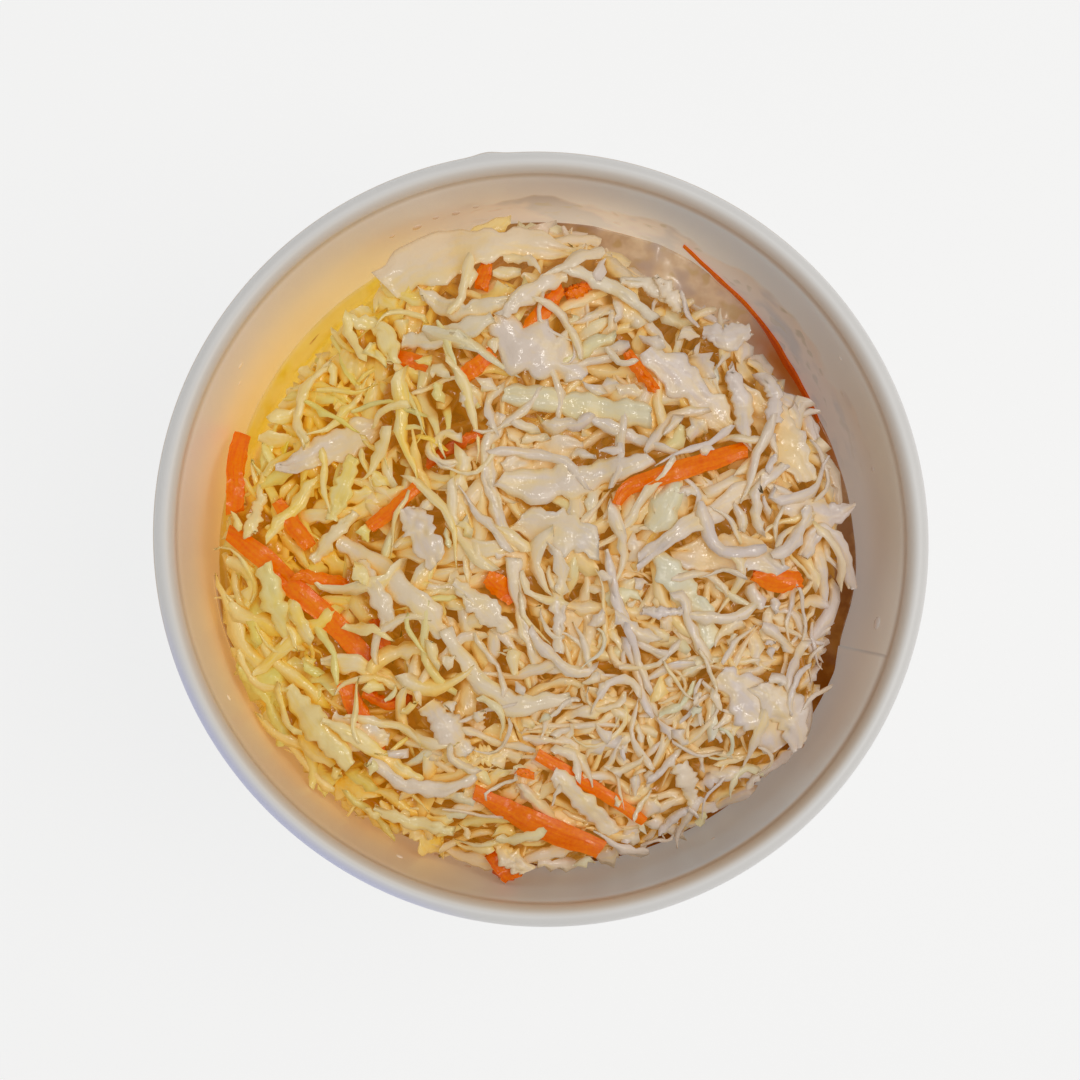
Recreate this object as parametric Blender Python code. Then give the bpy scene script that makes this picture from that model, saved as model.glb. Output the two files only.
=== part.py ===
"""Coleslaw in a round paper cup.

Three solids: the conical sidewall with its rolled rim and folded foot, the recessed base disc with its
skirt, and the heap of slaw that fills the cup and domes up inside it. Metres, +Z up, with the origin
on the table under the middle of the cup. +X is the cup's right and -Y its front.
"""

import math

import bmesh
import bpy
import numpy as np
from mathutils import Vector

MM = 0.001

# The cup.
RIM_RADIUS = 49.0 * MM
CUP_HEIGHT = 62.0 * MM
FOOT_RADIUS = 39.0 * MM
BOARD = 0.5 * MM
ROLL_WIDTH = 2.8 * MM
ROLL_HEIGHT = 3.0 * MM
ROLL_POINTS = 15
ROLL_START = math.radians(-135)
FOOT_ROUND = 0.35 * MM
HEM_HEIGHT = 5.5 * MM
BASE_TOP = 6.7 * MM
SKIRT = 0.45 * MM
GAP = 0.3 * MM

# The lap of the sidewall's glued seam, and the slight squeeze that leaves the rim out of round.
LAP_FROM = math.radians(-27)
LAP_TO = math.radians(-19)
LAP_RAMP = math.radians(0.6)
LAP_STEP = 0.35 * MM
SQUEEZE = 0.28 * MM
SQUEEZE_AZIMUTH = math.radians(135)

# The slaw: its height where it meets the wall, its crest, how sharply its flank falls, and how its
# lobes and lumps fade out towards the wall.
WALL_LINE = 39.2 * MM
WALL_LINE_SWING = 1.6 * MM
WALL_LINE_HIGH = math.radians(195)
CREST = 47.0 * MM
FLANK_POWER = 6.0
FLANK_SWING = 3.2
FLANK_STEEP = math.radians(-15)
EDGE_FADE = 8

# Broad lobes and hollows of the heap: azimuth in degrees, then radius, rise and spread in millimetres.
LOBES = [
    (5, 30, 2.2, 9),
    (-38, 33, 2.6, 8),
    (-85, 24, 1.4, 10),
    (100, 30, 1.6, 9),
    (0, 4, 2.0, 9),
    (172, 28, -2.2, 10),
    (150, 37, -1.2, 8),
    (-140, 34, -1.4, 9),
    (38, 40, -7.5, 6),
    (57, 39, -6.5, 6),
    (72, 40, -3.5, 6),
    (-3, 42, -3.0, 4),
]

# Lumps like tangled strands, laid at random over the heap.
STRANDS = 130
STRAND_RISE = (0.4 * MM, 1.7 * MM)
STRAND_LENGTH = (3.0 * MM, 7.0 * MM)
STRAND_WIDTH = (1.3 * MM, 2.4 * MM)
STRAND_SEED = 11

TURN_STEPS = 72
HEAP_RINGS = 28
HEAP_SIDE_ROWS = 3

TAPER = (RIM_RADIUS - ROLL_WIDTH + BOARD - FOOT_RADIUS) / (CUP_HEIGHT - ROLL_HEIGHT / 2)
HEAP_FLOOR = BASE_TOP + GAP


def outside(z):
    """Radius of the sidewall's outer face at height z."""
    return FOOT_RADIUS + TAPER * z


def bore(z):
    """Radius of the sidewall's inner face at height z."""
    return outside(z) - BOARD


def material(name, colour, roughness):
    """A Principled material of one colour and roughness."""
    made = bpy.data.materials.new(name)
    made.use_nodes = True
    shader = made.node_tree.nodes["Principled BSDF"]
    shader.inputs["Base Color"].default_value = (*colour, 1.0)
    shader.inputs["Roughness"].default_value = roughness
    shader.inputs["Metallic"].default_value = 0.0
    return made


def turned(profile, closed):
    """A bmesh turned about Z from (radius, height) points, closed on itself or ending on the axis."""
    bm = bmesh.new()
    points = [bm.verts.new((r, 0.0, z)) for r, z in profile]
    pairs = list(zip(points, points[1:]))
    if closed:
        pairs.append((points[-1], points[0]))
    edges = [bm.edges.new(pair) for pair in pairs]
    bmesh.ops.spin(
        bm,
        geom=points + edges,
        cent=(0, 0, 0),
        axis=(0, 0, 1),
        angle=math.tau,
        steps=TURN_STEPS,
        use_merge=True,
    )
    bmesh.ops.remove_doubles(bm, verts=bm.verts, dist=0.01 * MM)
    bmesh.ops.recalc_face_normals(bm, faces=bm.faces)
    return bm


def place(azimuth, radius, z):
    """The point at an azimuth, radius and height, on the slightly squeezed cup."""
    share = max(0.0, z / CUP_HEIGHT) * radius / RIM_RADIUS
    r = radius + SQUEEZE * share * math.cos(2 * (azimuth - SQUEEZE_AZIMUTH))
    return Vector((r * math.cos(azimuth), r * math.sin(azimuth), z))


def finished(name, bm, made_of):
    """The object that holds a bmesh, shaded smooth except along its sharp edges."""
    mesh = bpy.data.meshes.new(name)
    bm.to_mesh(mesh)
    bm.free()
    mesh.materials.append(made_of)
    mesh.shade_smooth()
    mesh.set_sharp_from_angle(angle=math.radians(40))
    made = bpy.data.objects.new(name, mesh)
    bpy.context.scene.collection.objects.link(made)
    return made


def roll_profile():
    """The rolled rim: an ellipse from its underside, out, over the top and back to the bore."""
    middle = Vector((RIM_RADIUS - ROLL_WIDTH / 2, CUP_HEIGHT - ROLL_HEIGHT / 2))
    angles = np.linspace(ROLL_START, math.pi, ROLL_POINTS)
    return [
        (middle.x + ROLL_WIDTH / 2 * math.cos(a), middle.y + ROLL_HEIGHT / 2 * math.sin(a))
        for a in angles
    ]


def lap_cuts(bm):
    """Splits the wall's faces along both edges of the lap, so that its steps are crisp."""
    for azimuth in (LAP_FROM, LAP_FROM + LAP_RAMP, LAP_TO - LAP_RAMP, LAP_TO):
        near = Vector((math.cos(azimuth), math.sin(azimuth), 0))
        faces = [f for f in bm.faces if f.calc_center_median().dot(near) > FOOT_RADIUS / 2]
        parts = {part for f in faces for part in (*f.verts, *f.edges, f)}
        across = Vector((-math.sin(azimuth), math.cos(azimuth), 0))
        bmesh.ops.bisect_plane(
            bm, geom=list(parts), dist=0.001 * MM, plane_co=(0, 0, 0), plane_no=across
        )


def cup_wall(board):
    """The sidewall: rounded foot, lapped cone, rolled rim, bore, and the hem folded up round the skirt."""
    under_roll = CUP_HEIGHT - ROLL_HEIGHT - 0.2 * MM
    slot = 2 * GAP + SKIRT
    profile = [
        (outside(0) - FOOT_ROUND, 0.0),
        (outside(0), FOOT_ROUND),
        (outside(HEM_HEIGHT), HEM_HEIGHT),
        (outside(under_roll / 2), under_roll / 2),
        (outside(under_roll), under_roll),
        *roll_profile(),
        (bore(under_roll), under_roll),
        (bore(under_roll / 2), under_roll / 2),
        (bore(BASE_TOP), BASE_TOP),
        (bore(BOARD), BOARD),
        (bore(BOARD) - slot, BOARD),
        (bore(HEM_HEIGHT) - slot, HEM_HEIGHT),
        (bore(HEM_HEIGHT) - slot - BOARD, HEM_HEIGHT),
        (bore(BOARD) - slot - BOARD, FOOT_ROUND),
        (bore(BOARD) - slot - BOARD + FOOT_ROUND, 0.0),
    ]
    bm = turned(profile, closed=True)
    lap_cuts(bm)
    for vert in bm.verts:
        radius, azimuth = math.hypot(vert.co.x, vert.co.y), math.atan2(vert.co.y, vert.co.x)
        on_lap = LAP_FROM + LAP_RAMP / 2 < azimuth < LAP_TO - LAP_RAMP / 2
        on_outer_face = radius > outside(vert.co.z) - BOARD / 2 and vert.co.z <= under_roll + 0.01 * MM
        if on_lap and on_outer_face and vert.co.z > FOOT_ROUND / 2:
            radius += LAP_STEP
        vert.co = place(azimuth, radius, vert.co.z)
    return finished("cup_wall", bm, board)


def cup_base(board):
    """The base: a flat disc set up inside the foot, with its skirt turned down into the hem."""
    under, foot = BASE_TOP - BOARD, BOARD + GAP
    profile = [
        (0.0, BASE_TOP),
        (bore(BASE_TOP) - GAP - FOOT_ROUND, BASE_TOP),
        (bore(BASE_TOP - FOOT_ROUND) - GAP, BASE_TOP - FOOT_ROUND),
        (bore(foot) - GAP, foot),
        (bore(foot) - GAP - SKIRT, foot),
        (bore(under) - GAP - SKIRT, under),
        (0.0, under),
    ]
    bm = turned(profile, closed=False)
    for vert in bm.verts:
        azimuth = math.atan2(vert.co.y, vert.co.x)
        vert.co = place(azimuth, math.hypot(vert.co.x, vert.co.y), vert.co.z)
    return finished("cup_base", bm, board)


def strands():
    """Random long lumps over the heap: centre, direction, half-length, half-width and rise of each."""
    rng = np.random.default_rng(STRAND_SEED)
    reach = bore(WALL_LINE) - STRAND_LENGTH[1] / 2
    radius = reach * np.sqrt(rng.random(STRANDS))
    azimuth = rng.uniform(0, math.tau, STRANDS)
    heading = rng.uniform(0, math.pi, STRANDS)
    centre = np.stack([radius * np.cos(azimuth), radius * np.sin(azimuth)], axis=1)
    along = np.stack([np.cos(heading), np.sin(heading)], axis=1)
    sizes = [rng.uniform(*span, STRANDS) for span in (STRAND_LENGTH, STRAND_WIDTH, STRAND_RISE)]
    return centre, along, *sizes


def wall_line(azimuth):
    """Height at which the slaw meets the wall: higher on the left than on the right."""
    return WALL_LINE + WALL_LINE_SWING * math.cos(azimuth - WALL_LINE_HIGH)


def heap_top(azimuth, share, lumps):
    """Height of the slaw at a share of the way out to the wall: dome, then lobes, then strand lumps.

    The dome is wall line + (crest - wall line) * (1 - share^n), with n large where the flank is steep.
    Each lobe is a round bell, and each strand a long one. Both fade to nothing at the wall.
    """
    edge = wall_line(azimuth)
    power = FLANK_POWER + FLANK_SWING * math.cos(azimuth - FLANK_STEEP)
    radius = share * (bore(edge) - GAP)
    spot = np.array([radius * math.cos(azimuth), radius * math.sin(azimuth)])
    rise = 0.0
    for lobe_azimuth, lobe_radius, lobe_rise, spread in LOBES:
        turn = math.radians(lobe_azimuth)
        middle = lobe_radius * MM * np.array([math.cos(turn), math.sin(turn)])
        rise += lobe_rise * MM * math.exp(-np.sum((spot - middle) ** 2) / (2 * (spread * MM) ** 2))
    centre, along, half_length, half_width, height = lumps
    off = spot - centre
    lengthwise = np.sum(off * along, axis=1) / half_length
    sideways = (off[:, 0] * along[:, 1] - off[:, 1] * along[:, 0]) / half_width
    rise += float(np.sum(height * np.exp(-(lengthwise**2 + sideways**2))))
    return edge + (CREST - edge) * (1 - share**power) + rise * (1 - share**EDGE_FADE)


def coleslaw(slaw):
    """The heap: a turned unit drum, whose top takes the heap's height and whose side follows the bore."""
    top = [(s, 1.0) for s in np.linspace(0, 1, HEAP_RINGS)]
    side = [(1.0, t) for t in np.linspace(1, 0, HEAP_SIDE_ROWS + 1)[1:]]
    bm = turned([*top, *side, (0.0, 0.0)], closed=False)
    lumps = strands()
    for vert in bm.verts:
        share, level = min(1.0, math.hypot(vert.co.x, vert.co.y)), vert.co.z
        azimuth = math.atan2(vert.co.y, vert.co.x)
        if level > 0.999:
            z = heap_top(azimuth, share, lumps)
            radius = share * (bore(wall_line(azimuth)) - GAP)
        else:
            z = HEAP_FLOOR + level * (wall_line(azimuth) - HEAP_FLOOR)
            radius = share * (bore(z) - GAP)
        vert.co = place(azimuth, radius, z)
    return finished("coleslaw", bm, slaw)


def main():
    """Clears the scene and builds the three pieces."""
    for old in list(bpy.data.objects):
        bpy.data.objects.remove(old)
    white_board = material("coated_board", (0.74, 0.72, 0.69), 0.45)
    pale_slaw = material("pale_slaw", (0.82, 0.74, 0.52), 0.35)
    cup_wall(white_board)
    cup_base(white_board)
    coleslaw(pale_slaw)


main()
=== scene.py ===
"""Looks of the cup of coleslaw: coated paper cup, slaw laid shred by shred on a core, carrots, dressing."""
import math

import bpy
import numpy as np
from mathutils import Matrix, Vector
from mathutils.bvhtree import BVHTree


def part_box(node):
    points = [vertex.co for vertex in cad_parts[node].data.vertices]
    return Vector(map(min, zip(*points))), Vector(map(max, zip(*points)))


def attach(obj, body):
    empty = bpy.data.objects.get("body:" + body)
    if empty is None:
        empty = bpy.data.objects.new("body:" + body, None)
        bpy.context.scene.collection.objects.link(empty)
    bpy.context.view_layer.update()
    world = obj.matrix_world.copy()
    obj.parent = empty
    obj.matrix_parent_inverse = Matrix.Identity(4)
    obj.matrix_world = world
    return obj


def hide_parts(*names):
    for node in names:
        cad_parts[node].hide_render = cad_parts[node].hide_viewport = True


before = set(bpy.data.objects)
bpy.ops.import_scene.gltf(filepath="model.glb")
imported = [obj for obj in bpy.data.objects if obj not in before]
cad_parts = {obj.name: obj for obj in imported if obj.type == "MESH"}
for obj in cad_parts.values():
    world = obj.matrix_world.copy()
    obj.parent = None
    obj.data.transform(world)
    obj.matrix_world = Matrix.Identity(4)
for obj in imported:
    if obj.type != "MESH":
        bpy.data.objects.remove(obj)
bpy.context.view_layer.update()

MM = 0.001

# Sizes read from the frame.
RIM_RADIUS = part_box("cup_wall")[1].x
CUP_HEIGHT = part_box("cup_wall")[1].z
BASE_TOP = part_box("cup_base")[1].z
SLAW_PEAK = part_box("coleslaw")[1].z

# The cup's board, its rolled rim, its foot and the lap of its glued seam.
BOARD = 0.5 * MM
ROLL_WIDTH = 2.8 * MM
ROLL_HEIGHT = 3.0 * MM
FOOT_OUTSIDE = 39.0 * MM
FOOT_ROUND = 0.35 * MM
HEM_HEIGHT = 5.5 * MM
SKIRT = 0.45 * MM
GAP = 0.3 * MM
SQUEEZE = 0.28 * MM
SQUEEZE_AZIMUTH = math.radians(135)
LAP_FROM = math.radians(-27)
LAP_TO = math.radians(-19)
LAP_STEP = 0.35 * MM
BORE_STEP = 0.16 * MM
BORE_FADE = 0.4
RIM_BUMP = 0.35 * MM
RIM_BUMP_AZIMUTH = math.radians(98.2)
RIM_BUMP_WIDTH = 0.035
ROUND_STEPS = 480
TAPER = (RIM_RADIUS - ROLL_WIDTH + BOARD - FOOT_OUTSIDE) / (CUP_HEIGHT - ROLL_HEIGHT / 2)

# The laying of the slaw.
CELL = 0.4 * MM             # side of a cell of the grid of heights
LAYER = 3.0 * MM            # how far the core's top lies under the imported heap's outline
HOLLOWS = 0.55 * MM         # relief of the hollows in the heap
SPREAD = 42.5 * MM          # how far out strips are dropped
DRAWN_BACK = 5.5 * MM       # how far that draws back where dressing lies open
NEAR_WALL = 37 * MM         # from here outwards strips follow the wall
CLEARANCE = 0.4 * MM        # room left between a strip's middle surface and the wall
SLAW_EDGE = 36 * MM         # the bore at this height is where the dressing reads the pile
STUCK_HEIGHT = 40 * MM      # about the height at which shreds stick to the wall
TRIES = 12                  # spots that are weighed against each other for a strip
GREEN_SHARE = 0.12          # share of the shreds that are green
SEED = 5

# The camera.
CAMERA_DISTANCE = 250 * MM                  # from the middle of its view
CAMERA_TILT = math.radians(2.25)            # away from straight down
CAMERA_TURN = math.radians(-122)            # the way it tips
CAMERA_MIDDLE = (-0.29 * MM, -0.40 * MM)    # the middle of its view, on the rim's plane
RIM_SHARE = 0.717963                        # the rim's share of the view's width


def outside(z):
    """Radius of the sidewall's outer face at height z."""
    return FOOT_OUTSIDE + TAPER * z


def bore(z):
    """Radius of the sidewall's inner face at height z."""
    return outside(z) - BOARD


def squeezed(azimuth, radius, z):
    """Points (x, y, z) of the out-of-round cup: its radius grows by a cosine of twice the azimuth."""
    share = np.maximum(0.0, z / CUP_HEIGHT) * radius / RIM_RADIUS
    r = radius + SQUEEZE * share * np.cos(2 * (azimuth - SQUEEZE_AZIMUTH))
    return np.stack([r * np.cos(azimuth), r * np.sin(azimuth), z + 0 * r], axis=-1)


def polar(radius, azimuth):
    """Points (x, y) at a radius and an azimuth."""
    return np.stack([radius * np.cos(azimuth), radius * np.sin(azimuth)], axis=-1)


def all_round(count):
    """Even azimuths round the whole cup."""
    return np.linspace(-math.pi, math.pi, count, endpoint=False)


def unit(number):
    """A number kept from 0 to 1."""
    return min(1.0, max(0.0, number))


# ---------------------------------------------------------------- materials


class Value:
    """A shader socket whose arithmetic adds Math nodes."""

    def __init__(self, finish, socket):
        self.finish = finish
        self.socket = socket

    def math(self, operation, *others, clamp=False):
        """The result of a Math node on this value and the others."""
        settings = {"operation": operation, "use_clamp": clamp}
        node = self.finish.node("ShaderNodeMath", settings, dict(enumerate((self, *others))))
        return Value(self.finish, node.outputs[0])

    def __add__(self, other):
        return self.math("ADD", other)

    def __mul__(self, other):
        return self.math("MULTIPLY", other)

    def __sub__(self, other):
        return self.math("SUBTRACT", other)

    def __rsub__(self, other):
        return self.math("MULTIPLY_ADD", -1.0, other)

    __radd__ = __add__
    __rmul__ = __mul__

    def clamped(self):
        """This value, kept from 0 to 1."""
        return self.math("ADD", 0.0, clamp=True)

    def between(self, low, high):
        """0 at low, 1 at high, smooth and clamped between."""
        inputs = {"Value": self, "From Min": low, "From Max": high}
        node = self.finish.node("ShaderNodeMapRange", {"interpolation_type": "SMOOTHSTEP"}, inputs)
        return Value(self.finish, node.outputs["Result"])

    def over(self, low, high):
        """0 at low millimetres, 1 at high millimetres, smooth and clamped between."""
        return self.between(low * MM, high * MM)


class Finish:
    """A material with one Principled shader, built up node by node."""

    def __init__(self, name, **constants):
        self.material = bpy.data.materials.new(name)
        self.material.use_nodes = True
        self.tree = self.material.node_tree
        self.shader = self.tree.nodes["Principled BSDF"]
        self.material.cycles.emission_sampling = "NONE"
        for key, value in ({"Emission_Strength": 1.0} | constants).items():
            self.shader.inputs[key.replace("_", " ")].default_value = value

    def node(self, kind, settings=None, inputs=None):
        """A node with its settings, then the values or links of its sockets."""
        made = self.tree.nodes.new(kind)
        for key, value in (settings or {}).items():
            setattr(made, key, value)
        for key, value in (inputs or {}).items():
            self.feed(made.inputs[key], value)
        return made

    def feed(self, socket, value):
        """Links a value or output to a socket, or sets the socket's number, vector or colour."""
        if isinstance(value, Value):
            value = value.socket
        if isinstance(value, bpy.types.NodeSocket):
            self.tree.links.new(value, socket)
        elif isinstance(value, tuple) and socket.type == "RGBA":
            socket.default_value = (*value, 1.0)
        else:
            socket.default_value = value

    def mix(self, factor, a, b, blend="MIX"):
        """The colour between a and b."""
        settings = {"data_type": "RGBA", "blend_type": blend}
        return self.node("ShaderNodeMix", settings, {0: factor, 6: a, 7: b}).outputs[2]

    def coats(self, colour, *rows):
        """The colour under coats, one over the other, each given as a factor and a colour."""
        for factor, coat in rows:
            colour = self.mix(factor, colour, coat)
        return colour

    def here(self):
        """The object's own coordinates."""
        return self.node("ShaderNodeTexCoord").outputs["Object"]

    def noise(self, scale, detail=2.0, roughness=0.5, at=None):
        """Noise from 0 to 1, at a scale per metre."""
        inputs = {"Vector": at or self.here(), "Scale": scale, "Detail": detail, "Roughness": roughness}
        return Value(self, self.node("ShaderNodeTexNoise", None, inputs).outputs["Fac"])

    def parts(self, vector):
        """The three parts of a vector, as values."""
        return [Value(self, out) for out in self.node("ShaderNodeSeparateXYZ", None, {0: vector}).outputs]

    def vector(self, x, y, z):
        """A vector of three values."""
        return self.node("ShaderNodeCombineXYZ", None, {0: x, 1: y, 2: z}).outputs[0]

    def attribute(self, name):
        """The three parts of a vector attribute, as values."""
        return self.parts(self.node("ShaderNodeAttribute", {"attribute_name": name}).outputs["Vector"])

    def bump(self, height, distance, strength=1.0):
        """Bumps the surface by a height in units of distance."""
        inputs = {"Height": height, "Distance": distance, "Strength": strength}
        self.feed(self.shader.inputs["Normal"], self.node("ShaderNodeBump", None, inputs).outputs["Normal"])

    def wear(self, **sockets):
        """Feeds shader sockets with what changes over the surface, and returns the material."""
        for key, value in sockets.items():
            self.feed(self.shader.inputs[key.replace("_", " ")], value)
        return self.material


def board_finish():
    """Coated white board, warm inside above the slaw, more of it further left: partly a soaked stain, partly
    painted warm light and a painted glow, with painted tints, shade and reflections.
    """
    made = Finish("coated_board", Roughness=0.42, Coat_Weight=0.12, Coat_Roughness=0.3)
    x, y, z = made.parts(made.here())
    inner, outward, seam = made.attribute("side")
    fibres = made.noise(900, 3.0, 0.6)
    mottle = made.noise(60)
    left = x.over(16, -40)
    upper = y.over(8, 44) * x.over(34, 4)
    below = y.over(-4, -38) * x.over(26, -8)
    low = z.between(CUP_HEIGHT - 4 * MM, CUP_HEIGHT - 20 * MM)
    near = z.between(CUP_HEIGHT - 17 * MM, CUP_HEIGHT - 25 * MM)
    # Inside, down towards the slaw, the colour warms to the left: partly a soaked stain, partly painted warm
    # light. At the front it takes a painted warm tint of the light.
    colour = made.coats(
        made.mix(mottle, (0.80, 0.78, 0.755), (0.86, 0.84, 0.815)),
        (inner * low, made.mix(left, (0.80, 0.75, 0.70), (0.86, 0.72, 0.50))),
        (inner * below * 0.6, (0.80, 0.68, 0.52)),
    )
    front_left = (x + y).over(-30, -56) * x.over(0, -16)
    # Painted light: tints for the colour of the light on the inner wall, warmer at the front left and the right,
    # cooler at the front and the back.
    painted_light_tints = [
        (front_left, (0.92, 0.84, 0.70)),
        (y.over(-14, -40) * x.over(-20, 0), (0.80, 0.90, 0.99)),
        (x.over(24, 44) * y.over(34, 10), (0.97, 0.94, 0.86)),
        (y.over(10, 40) * x.over(0, 20), (0.93, 1.06, 1.18)),
    ]
    for place, tint in painted_light_tints:
        colour = made.mix(inner * place, colour, tint, "MULTIPLY")
    film, patches, dots = wall_film(made, x, y, z)
    # Painted shade: a tan line along the roll's outer edge, more towards the left and the back.
    edge = outward.between(0.74, 0.97) * (x - y).over(20, -30)
    # Painted shade: a tan band on the roll's inner face, where it turns down into the wall, stronger at the
    # front.
    tan = outward.between(0.10, -0.80) * (y.over(4, -36) * 0.4 + 0.55)
    # Painted reflection: a bluish tint on the roll at the front left.
    painted_cool_reflection = outward.between(-0.2, 0.8) * (x + y).over(-54, -66)
    colour = made.coats(
        colour,
        # Near the slaw line, warmer to the left: partly a soaked stain, partly painted warm light.
        (inner * near * 0.8, made.mix(left, (0.80, 0.70, 0.58), (0.93, 0.78, 0.50))),
        (inner * film * 0.75, (0.76, 0.58, 0.38)),
        (inner * film * patches * 0.8, (0.40, 0.34, 0.33)),
        (inner * film * dots * 0.8, (0.46, 0.34, 0.10)),
        (seam * 0.55, (0.42, 0.38, 0.36)),
        (edge * 0.75, (0.60, 0.45, 0.29)),
        (tan, made.mix(x.over(-40, 40), (0.72, 0.58, 0.43), (0.60, 0.46, 0.33))),
        (painted_cool_reflection * 0.8, (0.66, 0.68, 0.95)),
    )
    # Painted glow: emission on the inner wall that stands in for light, warm to the left and front, brightest
    # low towards the back right, faint near the rim, none outside.
    painted_glow_left = made.mix(front_left, (0.185, 0.145, 0.085), (0.28, 0.19, 0.07))
    painted_glow_low = made.mix(left, (0.15, 0.18, 0.185), painted_glow_left)
    painted_glow_low = made.mix(upper * 0.75, painted_glow_low, made.mix(left, (0.54, 0.49, 0.38), (0.12, 0.155, 0.145)))
    far_right = (x - y).over(40, 58) * x.over(22, 34)
    painted_glow_high = made.mix(left, (0.02, 0.015, 0.01), (0.08, 0.035, 0.0))
    painted_glow_high = made.mix(far_right, painted_glow_high, (0.07, 0.065, 0.06))
    painted_glow = made.mix(inner, (0.0, 0.0, 0.0), made.mix(low, painted_glow_high, painted_glow_low))
    made.bump(fibres * 0.7 + mottle * 0.3, 0.05 * MM, 0.5)
    return made.wear(Base_Color=colour, Emission_Color=painted_glow)


def wall_film(made, x, y, z):
    """Where dressing dried in a film on the wall at the upper right, with its patches and its olive dots."""
    side = x.over(-16, 0) * y.over(6, 24)
    top = z + (made.noise(110) - 0.5) * (14 * MM)
    film = side * top.between(CUP_HEIGHT - 11 * MM, CUP_HEIGHT - 13 * MM)
    patches = made.noise(150).between(0.46, 0.62)
    dots = made.noise(420, 1.0).between(0.60, 0.72)
    return film, patches, dots


def cabbage_finish():
    """Wet shredded cabbage: cream, yellow or green by shred, pale on top and golden where it lies deep, as
    painted light and shade, with a painted glow.
    """
    made = Finish("wet_cabbage", Roughness=0.16, Specular_IOR_Level=0.4)
    tone, depth, warmth = made.attribute("shred")
    green, seed, high = made.attribute("leaf")
    along, across, _ = made.attribute("run")
    _, y, _ = made.parts(made.here())
    veins = made.noise(1.0, 2.0, 0.6, made.vector(along * 220.0, across * 2.2, seed * 60.0))
    blotch = made.noise(260, 2.0, 0.6)
    vein, patch = veins - 0.5, blotch - 0.5
    far = (warmth * 2.0 - 1.0).clamped()
    pale = made.mix(far, made.mix(warmth, (0.80, 0.685, 0.63), (0.91, 0.75, 0.44)), (0.90, 0.755, 0.36))
    cream = made.mix(far, made.mix(warmth, (0.90, 0.70, 0.43), (0.94, 0.70, 0.18)), (0.90, 0.665, 0.13))
    leaf_green = made.mix(warmth, (0.78, 0.80, 0.56), (0.69, 0.68, 0.17))
    # Painted light and shade: paler where the shred stands high, less pale deep down and towards its sides, more
    # golden deep down and darkest brown deepest. Tone, veins and blotches are the cabbage's own.
    side = across * across
    whiteness = (high * 0.4 + 0.72 - tone * 0.4 - depth * 0.45 - side * side * 0.25).clamped()
    goldness = (depth + tone * 0.25 - 0.24 + patch * 1.2 + vein * 0.6).clamped()
    colour = made.coats(
        cream,
        ((whiteness + vein * 2.0 + patch * 1.9).clamped(), pale),
        (goldness, made.mix(warmth, (0.92, 0.67, 0.33), (0.88, 0.59, 0.06))),
        ((green * 0.9 + patch * 0.8 * green).clamped(), leaf_green),
        ((depth * 1.5 - 1.2).clamped(), (0.45, 0.16, 0.01)),
    )
    # Painted glow: emission that stands in for light passing through the wet shreds, more of it deep down and
    # towards the back.
    shine = made.mix(warmth, (0.030, 0.018, 0.004), (0.124, 0.067, 0.002))
    under = made.mix(warmth, (0.125, 0.066, 0.008), (0.165, 0.066, 0.0))
    painted_glow = made.mix((depth * 0.75 + 0.15).clamped(), shine, under)
    painted_glow = made.mix(y.over(24, 42) * 0.5, painted_glow, (0.17, 0.12, 0.05))
    made.bump(veins * 0.4 + made.noise(1200, 2.0, 0.55) * 0.6, 0.14 * MM, 1.0)
    return made.wear(Base_Color=colour, Emission_Color=painted_glow)


def carrot_finish():
    """Wet shredded carrot: vivid orange with darker and paler fibres along the shred, a painted shade where it
    lies deep and a painted glow.
    """
    made = Finish("wet_carrot", Roughness=0.18, Specular_IOR_Level=0.22)
    tone, depth, _ = made.attribute("shred")
    _, seed, _ = made.attribute("leaf")
    along, across, _ = made.attribute("run")
    fibres = made.noise(1.0, 3.0, 0.65, made.vector(along * 180.0, across * 3.5, seed * 60.0))
    grains = made.noise(2200, 2.0, 0.6)
    streaks = (fibres * 0.6 + grains * 0.4).between(0.25, 0.75)
    colour = made.coats(
        made.mix(streaks, (0.90, 0.13, 0.0), (1.0, 0.30, 0.0)),
        (tone * 0.8, made.mix(streaks, (0.62, 0.06, 0.0), (0.90, 0.19, 0.0))),
        # Painted shade: darker where the shred lies deep.
        ((depth * 0.8 - 0.3).clamped(), (0.55, 0.10, 0.0)),
    )
    # Painted glow: emission that lifts the orange, less on the darker-toned shreds.
    painted_glow = made.mix(tone * 0.7, (0.09, 0.014, 0.0), (0.03, 0.002, 0.0))
    made.bump(fibres * 0.5 + grains * 0.5, 0.06 * MM, 1.0)
    return made.wear(Base_Color=colour, Emission_Color=painted_glow)


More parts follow.
